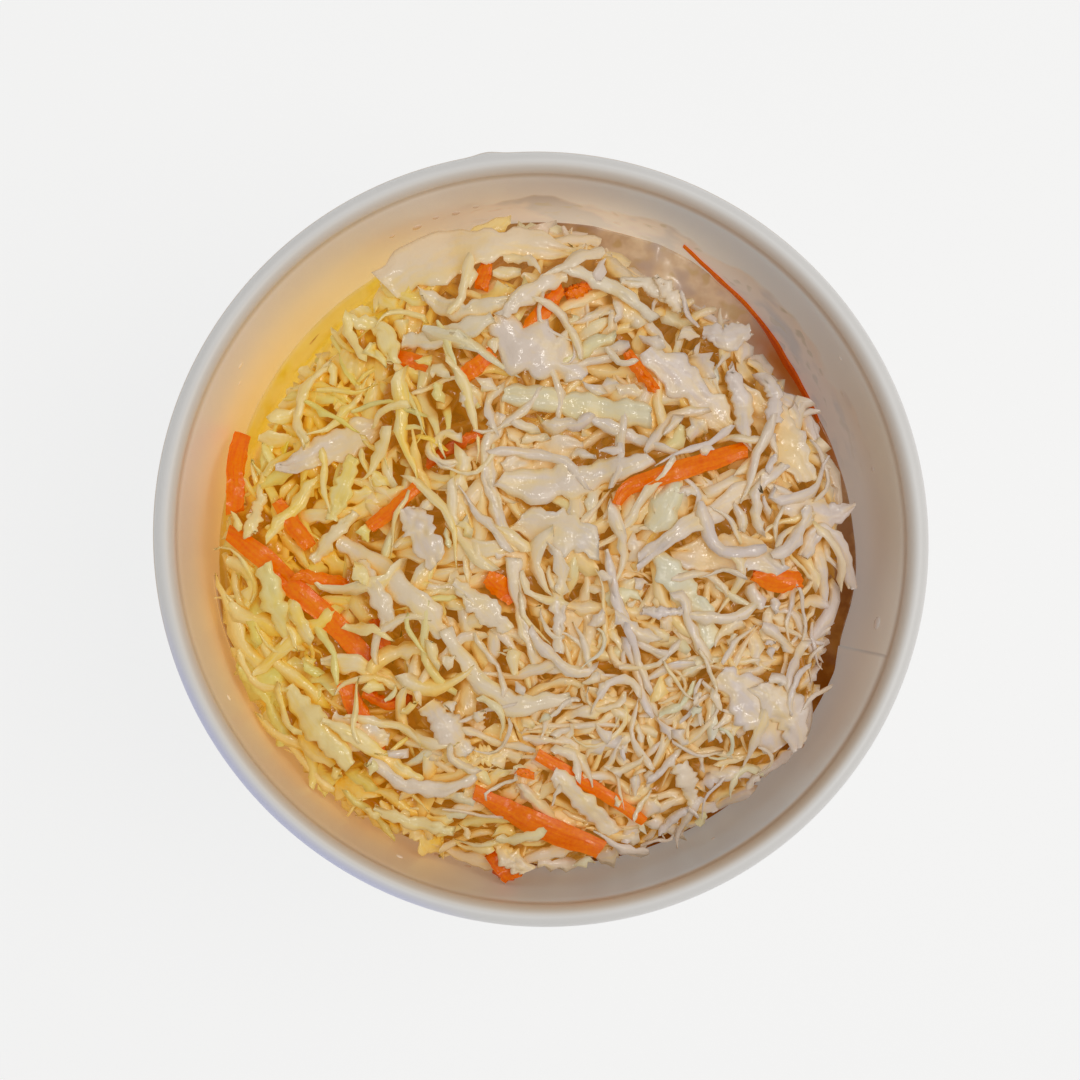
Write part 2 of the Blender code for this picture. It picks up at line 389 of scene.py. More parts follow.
def dressing_finish():
    """The dressing along the wall: yellow at the left, a tan film at the upper right, else dark amber that is
    partly painted shade in the gap by the wall; with a painted glow.
    """
    made = Finish("dressing", Roughness=0.20, Specular_IOR_Level=0.4)
    left, right, inward = made.attribute("dressed")
    x, y, _ = made.parts(made.here())
    clouds = made.noise(240, 3.0, 0.6).between(0.35, 0.65)
    broad = made.noise(150)
    dots = made.noise(420, 1.0).between(0.58, 0.72)
    warm = x.over(0, -30)
    yellow = made.coats(
        made.mix(clouds, (0.84, 0.57, 0.03), (0.91, 0.72, 0.12)),
        (broad.between(0.42, 0.62) * 0.8, (0.94, 0.76, 0.30)),
        (inward.between(0.10, 0.0), (0.95, 0.80, 0.50)),
    )
    tan = made.coats(
        made.mix(clouds, (0.70, 0.52, 0.32), (0.92, 0.78, 0.56)),
        (broad.between(0.46, 0.60), (0.54, 0.43, 0.39)),
        (dots * 0.7, (0.60, 0.42, 0.10)),
    )
    beside = inward.between(0.50, 0.12) * (y.over(6, 14) * y.over(33, 25) * x.over(20, 27))
    # The dark amber is partly dressing, partly painted shade in the gap by the wall; it warms to the left,
    # partly with painted warm light. The band beside the film at the right is partly dressing, partly painted
    # shade.
    colour = made.coats(
        made.mix(clouds, (0.30, 0.09, 0.006), (0.50, 0.22, 0.04)),
        (warm, made.mix(clouds, (0.68, 0.42, 0.06), (0.90, 0.62, 0.20))),
        (left, yellow),
        (right, tan),
        (beside * 0.85, (0.56, 0.20, 0.02)),
    )
    # Painted glow: emission that lifts the dressing, most on the yellow at the left and the film at the upper
    # right.
    painted_glow = made.coats(
        made.mix(warm, (0.01, 0.004, 0.0), (0.08, 0.05, 0.004)),
        (left, (0.12, 0.085, 0.0)),
        (right, (0.12, 0.09, 0.06)),
        (beside, (0.05, 0.012, 0.0)),
    )
    made.bump(clouds, 0.05 * MM, 0.4)
    return made.wear(Base_Color=colour, Emission_Color=painted_glow)


def droplet_finish():
    """Thin wet beads, nearly the board's own colour, that shine: warmer to the left with painted warm light, and
    with a painted glow.
    """
    made = Finish("droplets", Roughness=0.08, Specular_IOR_Level=0.5)
    x, _, _ = made.parts(made.here())
    left = x.over(10, -40)
    colour = made.mix(left, (0.84, 0.79, 0.74), (0.95, 0.80, 0.60))
    # Painted glow, warmer to the left, as on the wall.
    painted_glow = made.mix(left, (0.04, 0.04, 0.04), (0.12, 0.08, 0.04))
    return made.wear(Base_Color=colour, Emission_Color=painted_glow)


def core_finish():
    """The slaw under the loose shreds: amber, olive and brown, soaked, partly painted shade of the deep gaps,
    with a painted glow for light passing through.
    """
    made = Finish("soaked_slaw", Roughness=0.3, Specular_IOR_Level=0.3)
    x, _, _ = made.parts(made.here())
    left = x.over(10, -34)
    fine = made.noise(700, 3.0, 0.6)
    broad = made.noise(160)
    # Partly soaked slaw, partly painted shade of the deep gaps between the shreds.
    colour = made.mix(fine.between(0.35, 0.65), (0.48, 0.21, 0.03), (0.86, 0.56, 0.18))
    colour = made.mix(broad.between(0.45, 0.65) * (0.3 + left * 0.7), colour, (0.86, 0.58, 0.06))
    # Painted glow: emission, more to the left, for light passing through the soaked slaw.
    painted_glow = made.mix(left, (0.025, 0.006, 0.0), (0.07, 0.03, 0.0))
    made.bump(fine, 0.3 * MM, 0.8)
    return made.wear(Base_Color=colour, Emission_Color=painted_glow)


# ---------------------------------------------------------------- meshes


def placed(name, data):
    """A new object that holds the data, in the scene."""
    made = bpy.data.objects.new(name, data)
    bpy.context.scene.collection.objects.link(made)
    return made


def piece(name, points, faces, finish, replaces=(), attributes=None, crisp=None, flat=None):
    """A mesh object in its place: rides the cup's one body, with its finish and attributes.

    Edges sharper than crisp stay sharp. flat holds the corners' places on the baked sheet."""
    mesh = bpy.data.meshes.new(name)
    mesh.from_pydata(points.reshape(-1, 3), [], faces)
    for key, values in (attributes or {}).items():
        made = mesh.attributes.new(key, "FLOAT_VECTOR", "POINT")
        made.data.foreach_set("vector", values.reshape(-1).astype(np.float32))
    mesh.shade_smooth()
    if crisp:
        mesh.set_sharp_from_angle(angle=math.radians(crisp))
    if flat is not None:
        mesh.uv_layers.new(name="OFBake").data.foreach_set("uv", flat.reshape(-1).astype(np.float32))
    mesh.materials.append(finish)
    made = placed(name, mesh)
    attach(made, "root")
    if replaces:
        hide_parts(*replaces)
    return made


def ring_faces(rows, columns, closed_rows=False):
    """Quads of a grid of rows by columns whose columns close on themselves, and whose rows may too."""
    r = np.arange(rows if closed_rows else rows - 1)[:, None]
    c = np.arange(columns)[None, :]
    down, right = (r + 1) % rows, (c + 1) % columns
    corners = [r * columns + c, r * columns + right, down * columns + right, down * columns + c]
    return np.stack([k + 0 * (r + c) for k in corners], axis=-1).reshape(-1, 4)


def fan(pole, first, columns, turned_round=False):
    """Triangles from a pole to a ring of columns points that starts at the index first."""
    here = first + np.arange(columns)
    after = np.roll(here, -1)
    pair = (here, after) if turned_round else (after, here)
    return np.stack([np.full(columns, pole), *pair], axis=-1).tolist()


def closed(points, first_pole, last_pole):
    """Points and faces of a grid (rows, columns, 3) that is closed by a fan at its first and last row."""
    rows, columns = points.shape[:2]
    count = rows * columns
    faces = ring_faces(rows, columns).tolist()
    faces += fan(count, 0, columns) + fan(count + 1, count - columns, columns, True)
    return np.concatenate([points.reshape(-1, 3), [first_pole, last_pole]]), faces


def turned(radius, height, azimuth, step=0.0):
    """A profile of radii and heights swept round the azimuths, each radius grown by step."""
    r = radius[:, None] + step
    a = azimuth[None, :] + 0 * r
    return squeezed(a, r + 0 * a, height[:, None] + 0 * a)


def arc(middle, half_width, half_height, start, end, count):
    """Points on an ellipse, as radii and heights, from one angle to another."""
    a = np.radians(np.linspace(start, end, count))
    return middle[0] + half_width * np.cos(a), middle[1] + half_height * np.sin(a)


def wall_azimuths():
    """Even azimuths round the cup, with a close pair at each edge of the lap."""
    even = all_round(ROUND_STEPS)
    close = math.radians(0.06)
    edges = [a + d for a in (LAP_FROM, LAP_TO) for d in (-close, close)]
    far = np.abs(even[:, None] - np.array([LAP_FROM, LAP_TO])).min(axis=1) > 2 * close
    return np.sort(np.concatenate([even[far], edges]))


def cup_wall(board):
    """The sidewall: its profile goes up the outside, round the roll, down the bore and round the hem.

    The lap of the glued seam stands out of the outer face by a step, and the bore has a fine step at the
    lap's inner edge that fades away behind it. The roll's outer half swells in one place, as a bell."""
    under_roll = CUP_HEIGHT - ROLL_HEIGHT - 0.2 * MM
    slot = 2 * GAP + SKIRT
    roll_middle = (RIM_RADIUS - ROLL_WIDTH / 2, CUP_HEIGHT - ROLL_HEIGHT / 2)
    roll = arc(roll_middle, ROLL_WIDTH / 2, ROLL_HEIGHT / 2, -135, 200, 37)
    up = np.linspace(FOOT_ROUND, under_roll, 24)[1:]
    down = np.linspace(under_roll, BOARD, 40)
    hem = np.linspace(BOARD, HEM_HEIGHT, 4)
    corner = arc((outside(0) - FOOT_ROUND, FOOT_ROUND), FOOT_ROUND, FOOT_ROUND, -90, 0, 5)
    inner_middle = (bore(0) - slot - BOARD + FOOT_ROUND, FOOT_ROUND)
    inner_corner = arc(inner_middle, FOOT_ROUND, FOOT_ROUND, 180, 270, 5)
    sections = [
        (*corner, "foot"), (outside(up), up, "outer"), (*roll, "roll"), (bore(down), down, "bore"),
        (bore(hem) - slot, hem, "hem"), (bore(hem[::-1]) - slot - BOARD, hem[::-1], "hem"),
        (*inner_corner, "foot"),
    ]
    radius, height = (np.concatenate([s[k] for s in sections]) for k in (0, 1))
    part = np.concatenate([[s[2]] * len(s[0]) for s in sections])[:, None]
    azimuth = wall_azimuths()
    on_lap = (azimuth > LAP_FROM) & (azimuth < LAP_TO)
    past_edge = np.mod(LAP_TO - azimuth, math.tau)
    fade = np.exp(-past_edge / BORE_FADE) * (azimuth <= LAP_TO)
    swell = RIM_BUMP * np.exp(-(((azimuth - RIM_BUMP_AZIMUTH) / RIM_BUMP_WIDTH) ** 2))
    outward = np.clip((radius - roll_middle[0]) / (ROLL_WIDTH / 2), 0, 1)[:, None]
    step = (part == "outer") * on_lap * LAP_STEP - (part == "bore") * fade * BORE_STEP
    step = step + (part == "roll") * outward * swell
    points = turned(radius, height, azimuth, step)
    toward = (radius - roll_middle[0])[:, None] / (ROLL_WIDTH / 2)
    none = np.zeros(points.shape[:2])
    seam = (part == "bore") * (np.abs(azimuth - LAP_TO) < math.radians(0.1))
    side = np.stack([none + (part == "bore"), none + toward * (part == "roll"), none + seam], axis=-1)
    faces = ring_faces(*points.shape[:2], True)
    return piece("paper_cup_wall", points, faces, board, ["cup_wall"], {"side": side})


def cup_base(board):
    """The base disc with its skirt: its profile goes out over the top, down the skirt and back underneath."""
    under, foot = BASE_TOP - BOARD, BOARD + GAP
    inward = np.linspace(1.0, 0.02, 12)
    rim = bore(BASE_TOP) - GAP - FOOT_ROUND
    edge = arc((rim, BASE_TOP - FOOT_ROUND), FOOT_ROUND, FOOT_ROUND, 60, 0, 3)
    down = np.linspace(BASE_TOP - FOOT_ROUND, foot, 8)
    skirt = bore(down[::-1]) - GAP - SKIRT
    radius = np.concatenate([rim * inward[::-1], edge[0], bore(down) - GAP, skirt, skirt[-1] * inward])
    level = 0 * inward
    height = np.concatenate([BASE_TOP + level, edge[1], down, np.minimum(down[::-1], under), under + level])
    points, faces = closed(turned(radius, height, all_round(180)), (0, 0, BASE_TOP), (0, 0, under))
    return piece("paper_cup_base", points, faces, board, ["cup_base"])


# ---------------------------------------------------------------- the slaw


def heap_heights():
    """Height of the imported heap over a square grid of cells, found by dropping a ray on each."""
    reach = bore(CUP_HEIGHT)
    across = np.arange(-reach, reach, CELL)
    tree = BVHTree.FromObject(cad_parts["coleslaw"], bpy.context.evaluated_depsgraph_get())
    fall = Vector((0, 0, -1))
    drop = [[tree.ray_cast(Vector((x, y, CUP_HEIGHT)), fall)[0] for y in across] for x in across]
    heights = np.array([[hit.z if hit else np.nan for hit in row] for row in drop])
    return across, np.where(np.isnan(heights), np.nanmin(heights), heights)


class Pile:
    """The slaw's upper surface, as heights on a square grid of cells, on which shreds are laid."""

    def __init__(self, across, heights):
        self.low = across[0]
        self.cells = len(across)
        self.top = heights.copy()

    def cell(self, xy):
        """Row and column of the cells that points (..., 2) fall in."""
        at = np.clip(((xy - self.low) / CELL + 0.5).astype(int), 0, self.cells - 1)
        return at[..., 0], at[..., 1]

    def rest(self, xy, droop):
        """Heights at which a strip's grid of points (rows, columns, 2) comes to rest.

        A point is held up by its own support, or hangs droop * distance^2 below that of another point;
        then the heights are evened out along the strip, and half way across it."""
        support = self.top[self.cell(xy)]
        flat = xy.reshape(-1, 2)
        apart = ((flat[:, None, :] - flat[None, :, :]) ** 2).sum(axis=-1)
        hung = (support.reshape(1, -1) - droop * apart).max(axis=1).reshape(support.shape)
        for _ in range(2):
            ends = np.concatenate([hung[:1], hung, hung[-1:]])
            hung = (ends[:-2] + 2 * hung + ends[2:]) / 4
        return 0.6 * hung + 0.4 * hung.mean(axis=1, keepdims=True)

    def smooth(self, cells):
        """The surface's heights averaged over squares of 2 * cells + 1 cells a side."""
        padded = np.pad(self.top, cells + 1, mode="edge").cumsum(axis=0).cumsum(axis=1)
        n = 2 * cells + 1
        end = slice(n, n + self.cells)
        first = slice(0, self.cells)
        total = padded[end, end] - padded[first, end] - padded[end, first] + padded[first, first]
        return total / n**2


def refining(count, times):
    """The matrix that turns count values in a row into times as many steps between them."""
    at = np.linspace(0, count - 1, times * (count - 1) + 1)
    return np.maximum(0, 1 - np.abs(at[:, None] - np.arange(count)[None, :]))


class Kind:
    """Strips of one kind: flat outlines first, then points laid on the pile, then bodies."""

    def __init__(self, name, rows, columns, slot="slaw", edge=0.6, crisp=None):
        self.name, self.rows, self.columns, self.slot, self.edge = name, rows, columns, slot, edge
        self.crisp = crisp
        self.grids, self.thick, self.lengths, self.traits = [], [], [], []
        self.finer = refining(rows, 4), refining(columns, 3)

    def lay(self, rng, pile, xy, thick, droop, sink, traits):
        """Lays one strip: it rests on the pile, keeps inside the cup, and raises the pile under it.

        A strip that would reach past the wall moves inwards by most of that, and the rest is pressed in.
        It twists a little to and fro about its middle line, and it's crumpled by random waves."""
        for _ in range(2):
            z = pile.rest(xy, droop)
            radius = np.hypot(xy[..., 0], xy[..., 1])
            most = bore(z) - CLEARANCE - traits["margin"] * bared(np.arctan2(xy[..., 1], xy[..., 0]))
            middle = xy.mean(axis=(0, 1))
            past = max(0.0, float((radius - most).max()))
            xy = xy - 0.85 * past * middle / (np.hypot(*middle) + 1e-9)
            radius = np.hypot(xy[..., 0], xy[..., 1])
            xy = xy * np.where(radius > most, most / radius, 1.0)[..., None]
        half = np.linalg.norm(xy[:, -1] - xy[:, 0], axis=-1) / 2
        tilt = waver(rng, self.rows, 2) * rng.normal(0, traits["twist"]) * half
        waves = np.outer(waver(rng, self.rows, 5), waver(rng, self.columns, 3))
        z = z + thick[:, None] / 2 - sink
        z = z + tilt[:, None] * np.linspace(-1, 1, self.columns) + traits["crumple"] * waves
        long, wide = self.finer
        dense = np.einsum("ak,kjc,bj->abc", long, np.dstack([xy, z + thick[:, None] * 0.4]), wide)
        np.maximum.at(pile.top, pile.cell(dense[..., :2]), dense[..., 2])
        self.grids.append(np.dstack([xy, z]))
        self.thick.append(thick)
        self.traits.append([traits[key] for key in ("tone", "warmth", "green", "cup", "seed")])

    def bodies(self, points, thick):
        """Closed skins of the laid strips: the middle surface moved both ways by half the thickness.

        It moves along its normal. The thickness falls from the middle to edge times itself at the sides, as
        a half ellipse. A ring of points runs over the top from left to right and back underneath."""
        normal = np.cross(np.gradient(points, axis=1), np.gradient(points, axis=2))
        normal /= np.linalg.norm(normal, axis=-1, keepdims=True) + 1e-12
        normal *= np.where(normal[..., 2:] < 0, -1.0, 1.0)
        spread = np.linspace(-1, 1, self.columns)
        rounding = self.edge + (1 - self.edge) * np.sqrt(np.clip(1 - spread**2, 0, 1))
        offset = normal * (thick[:, :, None] * rounding / 2)[..., None]
        return np.concatenate([points + offset, (points - offset)[:, :, ::-1]], axis=2)

    def faces(self, count):
        """Quads of count closed strips: the sides, then both ends."""
        ring = 2 * self.columns
        j = np.arange(self.columns - 1)
        start = np.stack([j, j + 1, ring - 2 - j, ring - 1 - j], axis=-1)
        end = start[:, ::-1] + (self.rows - 1) * ring
        one = np.concatenate([ring_faces(self.rows, ring), start, end])
        return (one[None] + (np.arange(count) * self.rows * ring)[:, None, None]).reshape(-1, 4)

    def sheet(self, count):
        """Corners of all the faces on the baked sheet: each strip unrolled in a square cell of its own.

        The end faces take a narrow band at either end of the cell."""
        ring, steps = 2 * self.columns, self.rows - 1
        r = (np.arange(steps)[:, None] + np.zeros(ring)) / steps
        c = (np.arange(ring) + np.zeros((steps, 1))) / ring
        turn = [(0, 0), (0, 1), (1, 1), (1, 0)]
        corners = [np.stack([r + a / steps, c + b / ring], axis=-1) for a, b in turn]
        sides = np.stack(corners, axis=2).reshape(-1, 4, 2) * (0.84, 0.92) + (0.08, 0.04)
        end = np.array([(0.0, 0.1), (0.0, 0.9), (0.03, 0.9), (0.03, 0.1)])
        ends = np.repeat(np.stack([end + (0.02, 0), end + (0.95, 0)]), self.columns - 1, axis=0)
        one = np.concatenate([sides, ends])
        across = math.ceil(math.sqrt(count))
        place = np.stack([np.arange(count) % across, np.arange(count) // across], axis=-1)
        return (one[None] + place[:, None, None]) / across

    def finished(self, pile, finish):
        """The joined mesh of all the strips, with what the finish reads: tone, depth, warmth and the rest."""
        points, thick = np.array(self.grids), np.array(self.thick)
        tone, warmth, green, cup, seed = np.array(self.traits).T[:, :, None, None]
        spread = np.linspace(-1, 1, self.columns)
        steps = np.linalg.norm(np.diff(points, axis=1), axis=-1).mean(axis=-1)
        run = np.pad(np.cumsum(steps, axis=1), ((0, 0), (1, 0)))
        width = np.linalg.norm(points[:, :, -1] - points[:, :, 0], axis=-1)[..., None]
        points = points + np.stack([0 * width, 0 * width, cup * width], axis=-1) * (1 - spread**2)[:, None]
        skin = self.bodies(points, thick)
        around = np.concatenate([spread, spread[::-1]])[None, None]
        local, broad = pile.smooth(2), pile.smooth(6)
        at = pile.cell(skin[..., :2])
        # depth feeds the cabbage's painted golden shade, deepened over the pits, and its negative, clipped, the
        # painted paler tops.
        depth = (0.6 * local[at] + 0.4 * broad[at] - skin[..., 2]) / MM
        depth = depth + np.clip(pits(skin[..., :2]) / PIT_SHADE - 0.5, 0, 1.2)
        flat = 0 * depth
        attributes = {
            "shred": np.stack([tone + flat, np.clip(depth, -1, 2), warmth + flat], axis=-1),
            "leaf": np.stack([green + flat, seed + flat, np.clip(-depth * 0.8, 0, 1)], axis=-1),
            "run": np.stack([run[:, :, None] + flat, around + flat, flat], axis=-1),
        }
        faces, sheet = self.faces(len(points)), self.sheet(len(points))
        return piece(self.name, skin, faces, finish, (), attributes, self.crisp, sheet)


def waver(rng, rows, waves):
    """Smooth random values along a strip, about 0 with a spread of 1: a sum of cosines with random phases."""
    s = np.linspace(0, 1, rows)[:, None]
    turns = math.tau * (0.5 + np.arange(waves)) * s + rng.uniform(0, math.tau, waves)
    return np.cos(turns).sum(axis=1) * math.sqrt(2 / waves)


def widened(rng, line, half_width, columns, ragged, slant):
    """A strip's grid of points from its middle line (rows, 2) and half-widths (rows).

    Each side's half-width is the given one times one plus a slow waver plus a quicker one. The end
    rows are cut at a slant: they move along the line in proportion to how far across they lie."""
    rows = len(line)
    along = np.gradient(line, axis=0)
    along /= np.linalg.norm(along, axis=1, keepdims=True) + 1e-12
    side = np.stack([-along[:, 1], along[:, 0]], axis=-1)
    jags = [waver(rng, rows, 4) + 0.8 * waver(rng, rows, min(9, rows // 2 + 2)) for _ in range(2)]
    sides = [half_width * np.clip(1 + ragged * jag, 0.3, 2) for jag in jags]
    spread = np.linspace(-1, 1, columns)
    reach = np.where(spread < 0, sides[0][:, None], sides[1][:, None]) * spread
    cut = np.linspace(-1, 1, rows)[:, None] ** 7 * reach * slant
    rng.integers(2)  # A draw that is let go, so that those after it stay the same.
    return line[:, None] + side[:, None] * reach[..., None] + along[:, None] * cut[..., None]


def random_strip(rng, kind, length, half_width, bend, wave, ragged, pointed):
    """A strip's outline round (0, 0).

    Its middle line turns evenly by bend, plus a slow wave; its half-width is even, with a blunt end and,
    on a share of the strips, an end that narrows to a point."""
    rows = kind.rows
    s = np.linspace(-0.5, 0.5, rows)
    long = rng.uniform(*length) * MM
    wide = rng.uniform(*half_width) * MM
    heading = rng.normal(0, bend) * s + wave * waver(rng, rows, 2) * 0.5
    hook = rng.normal(0, 0.8) * (rng.random() < 0.15) * np.clip(np.abs(s) * 4 - 1, 0, 1) ** 2
    heading = heading + hook
    steps = np.stack([np.cos(heading), np.sin(heading)], axis=-1) * long / (rows - 1)
    line = np.cumsum(steps, axis=0)
    line -= line.mean(axis=0)
    taper = np.clip(1.25 * (1 - np.abs(2 * s) ** 8), 0.55, 1)
    if rng.random() < pointed:
        taper = taper * np.clip(0.12 + 1.6 * (s + 0.5), 0, 1)
    return widened(rng, line, wide * taper, kind.columns, ragged, rng.normal(0, 0.8)), taper


def traits_for(rng, xy, green_share):
    """The looks of a shred at xy. It is warmer to the left, most of all near the wall: partly the shreds' own
    yellow, partly painted warm light.
    """
    x, y = xy / MM
    lean = unit((0.2 * y - 0.9 * x - 8.0) / 24.0)
    outer = unit((math.hypot(x, y) - 33) / 7) * unit((10 - x) / 30)
    warmth = 0.30 - x / 150 + 0.65 * lean + 0.4 * outer + rng.normal(0, 0.14)
    green = rng.uniform(0.2, 0.7) if rng.random() < green_share * (1.8 if x < -10 else 0.6) else 0.0
    return {
        "tone": rng.random(), "warmth": unit(warmth), "green": green, "cup": rng.normal(0.02, 0.06),
        "seed": rng.random(), "twist": 0.30, "crumple": 0.04 * MM, "margin": 5.0 * MM,
    }


def bell(azimuth, middle, width):
    """A flat-topped bell round the azimuth middle in degrees, with its width in radians, from 0 to 1."""
    away = np.mod(azimuth - math.radians(middle) + math.pi, math.tau) - math.pi
    return np.clip(1.5 * np.exp(-((away / width) ** 2)), 0, 1)


def dressed(azimuth):
    """How much dressing lies open along the wall at the upper left, from 0 to 1."""
    return bell(azimuth, 143, 0.55)


def filmed(azimuth):
    """How much of a film lies open along the wall at the upper right, from 0 to 1."""
    return bell(azimuth, 48, 0.56)


def sunken(azimuth):
    """How much the edge of the slaw sinks at the right, from 0 to 1."""
    return bell(azimuth, 2, 0.48)


def bared(azimuth):
    """How far the shreds draw back from the wall, from 0 to 1: by the dressing, the film and at the right."""
    return np.maximum(np.maximum(dressed(azimuth), filmed(azimuth)), 0.8 * sunken(azimuth))


def spot(rng, pile, target):
    """The one of several random spots over the heap where the pile is furthest below, or least above, target."""
    azimuth = rng.uniform(0, math.tau, TRIES)
    options = polar((SPREAD - DRAWN_BACK * bared(azimuth)) * np.sqrt(rng.random(TRIES)), azimuth)
    at = pile.cell(options)
    return options[np.argmax(target[at] - pile.top[at])]


class Swirl:
    """A smooth field of random waves over the cup: a sum of cosines of random directions and lengths."""

    def __init__(self, rng, shortest, longest, waves):
        heading = rng.uniform(0, math.tau, waves)
        turns = math.tau / rng.uniform(shortest, longest, waves)
        self.pace = np.stack([np.cos(heading), np.sin(heading)]) * turns
        self.phase = rng.uniform(0, math.tau, waves)

    def at(self, xy):
        """The field at points (..., 2), about 0 with a spread of 1."""
        return np.cos(xy @ self.pace + self.phase).sum(axis=-1) * math.sqrt(2 / len(self.phase))


def heading_at(rng, xy, swirl):
    """A heading along the swirl or, for some, any heading; turned along the wall for a spot close to it."""
    if np.hypot(*xy) > NEAR_WALL:
        return math.atan2(xy[1], xy[0]) + math.pi / 2 + rng.normal(0, 0.45)
    if rng.random() < 0.35:
        return rng.uniform(0, math.pi)
    return 1.6 * swirl.at(xy) + rng.normal(0, 0.4)


def smooth_line(path, rows):
    """A path of (x, y, half-width) in millimetres, rounded and split into even rows.

    The path is read by distance along it, evened out by a moving average, and read again."""
    path = np.array(path, float) * MM
    far = np.concatenate([[0], np.cumsum(np.hypot(*np.diff(path[:, :2], axis=0).T))])
    at = np.linspace(0, far[-1], 61)
    dense = np.stack([np.interp(at, far, column) for column in path.T], axis=-1)
    weights = np.hanning(17)[1:-1]
    weights /= weights.sum()
    padded = np.concatenate([2 * dense[:1] - dense[7:0:-1], dense, 2 * dense[-1:] - dense[-2:-9:-1]])
    dense = np.stack([np.convolve(column, weights, "valid") for column in padded.T], axis=-1)
    even = np.linspace(0, 60, rows)
    return np.stack([np.interp(even, np.arange(61), column) for column in dense.T], axis=-1)


# Shreds of carrot that show: a tone from orange to red, then a path of (x, y, half-width) in millimetres.
CARROTS = [
    (0.0, [(-40.3, 3.6, 1.1), (-40.4, 9.4, 1.15), (-40.2, 14.2, 1.1)]),
    (0.0, [(-40.7, 0.9, 1.0), (-35.9, -2.4, 1.4), (-31.9, -6.4, 1.3), (-27.9, -9.8, 1.3), (-23.8, -14.2, 1.5),
           (-20.5, -18.0, 0.9)]),
    (0.1, [(-31.5, -4.6, 0.7), (-28.2, -5.4, 0.8), (-24.8, -6.0, 0.6)]),
    (0.1, [(-34.4, 5.0, 0.7), (-32.5, 2.0, 1.1), (-30.0, -1.1, 0.9)]),
    (0.2, [(-25.4, -18.6, 1.1), (-23.4, -23.0, 1.3), (-20.4, -28.0, 0.6)]),
    (0.8, [(-23.0, -19.8, 0.5), (-20.0, -21.4, 0.7), (-16.8, -20.6, 0.5)]),
    (0.35, [(9.4, 4.2, 0.5), (10.4, 6.2, 0.9), (17.0, 8.3, 1.25), (22.5, 10.2, 1.15), (26.5, 11.3, 0.9)]),
    (0.2, [(-0.6, -27.6, 0.7), (4.5, -30.6, 0.9), (9.0, -33.4, 0.8), (13.2, -36.4, 0.6)]),
    (0.5, [(-8.6, -32.4, 0.9), (-3.5, -35.2, 1.3), (2.5, -38.0, 1.6), (7.8, -40.2, 1.2)]),
    (0.6, [(-6.8, -41.0, 0.8), (-5.0, -43.0, 1.2), (-3.6, -44.4, 1.1)]),
    (0.2, [(-2.2, 26.2, 0.7), (0.2, 29.2, 1.1), (2.6, 32.2, 0.7)]),
    (0.2, [(3.3, 31.7, 0.7), (4.8, 32.1, 0.8), (6.2, 32.8, 0.5)]),
    (0.2, [(-7.8, 32.2, 0.9), (-7.3, 34.4, 0.9), (-6.9, 36.2, 0.4)]),
    (0.4, [(-20.0, 23.6, 0.8), (-17.2, 23.2, 1.0), (-14.6, 22.2, 0.8)]),
    (0.1, [(-10.8, 20.2, 0.9), (-8.4, 22.0, 1.1), (-6.2, 23.8, 0.8)]),
    (0.9, [(-14.6, 9.8, 0.6), (-11.5, 11.6, 0.7), (-8.2, 13.4, 0.6)]),
    (0.1, [(-22.2, 1.4, 0.8), (-19.0, 3.8, 0.9), (-16.0, 6.6, 0.7)]),
    (0.4, [(11.0, 23.8, 0.5), (12.6, 21.2, 0.8), (14.6, 18.8, 0.5)]),
    (0.1, [(-7.0, -4.9, 1.0), (-5.1, -6.4, 1.4), (-3.4, -8.0, 1.0)]),
    (0.2, [(27.0, -4.6, 0.9), (30.0, -5.6, 1.5), (33.2, -5.4, 0.9)]),
    (0.2, [(-3.2, -29.8, 0.4), (-2.1, -30.0, 0.6), (-1.0, -30.4, 0.4)]),
    (0.6, [(-21.5, -10.5, 0.6), (-20.4, -13.4, 0.9), (-20.0, -16.0, 0.5)]),
]

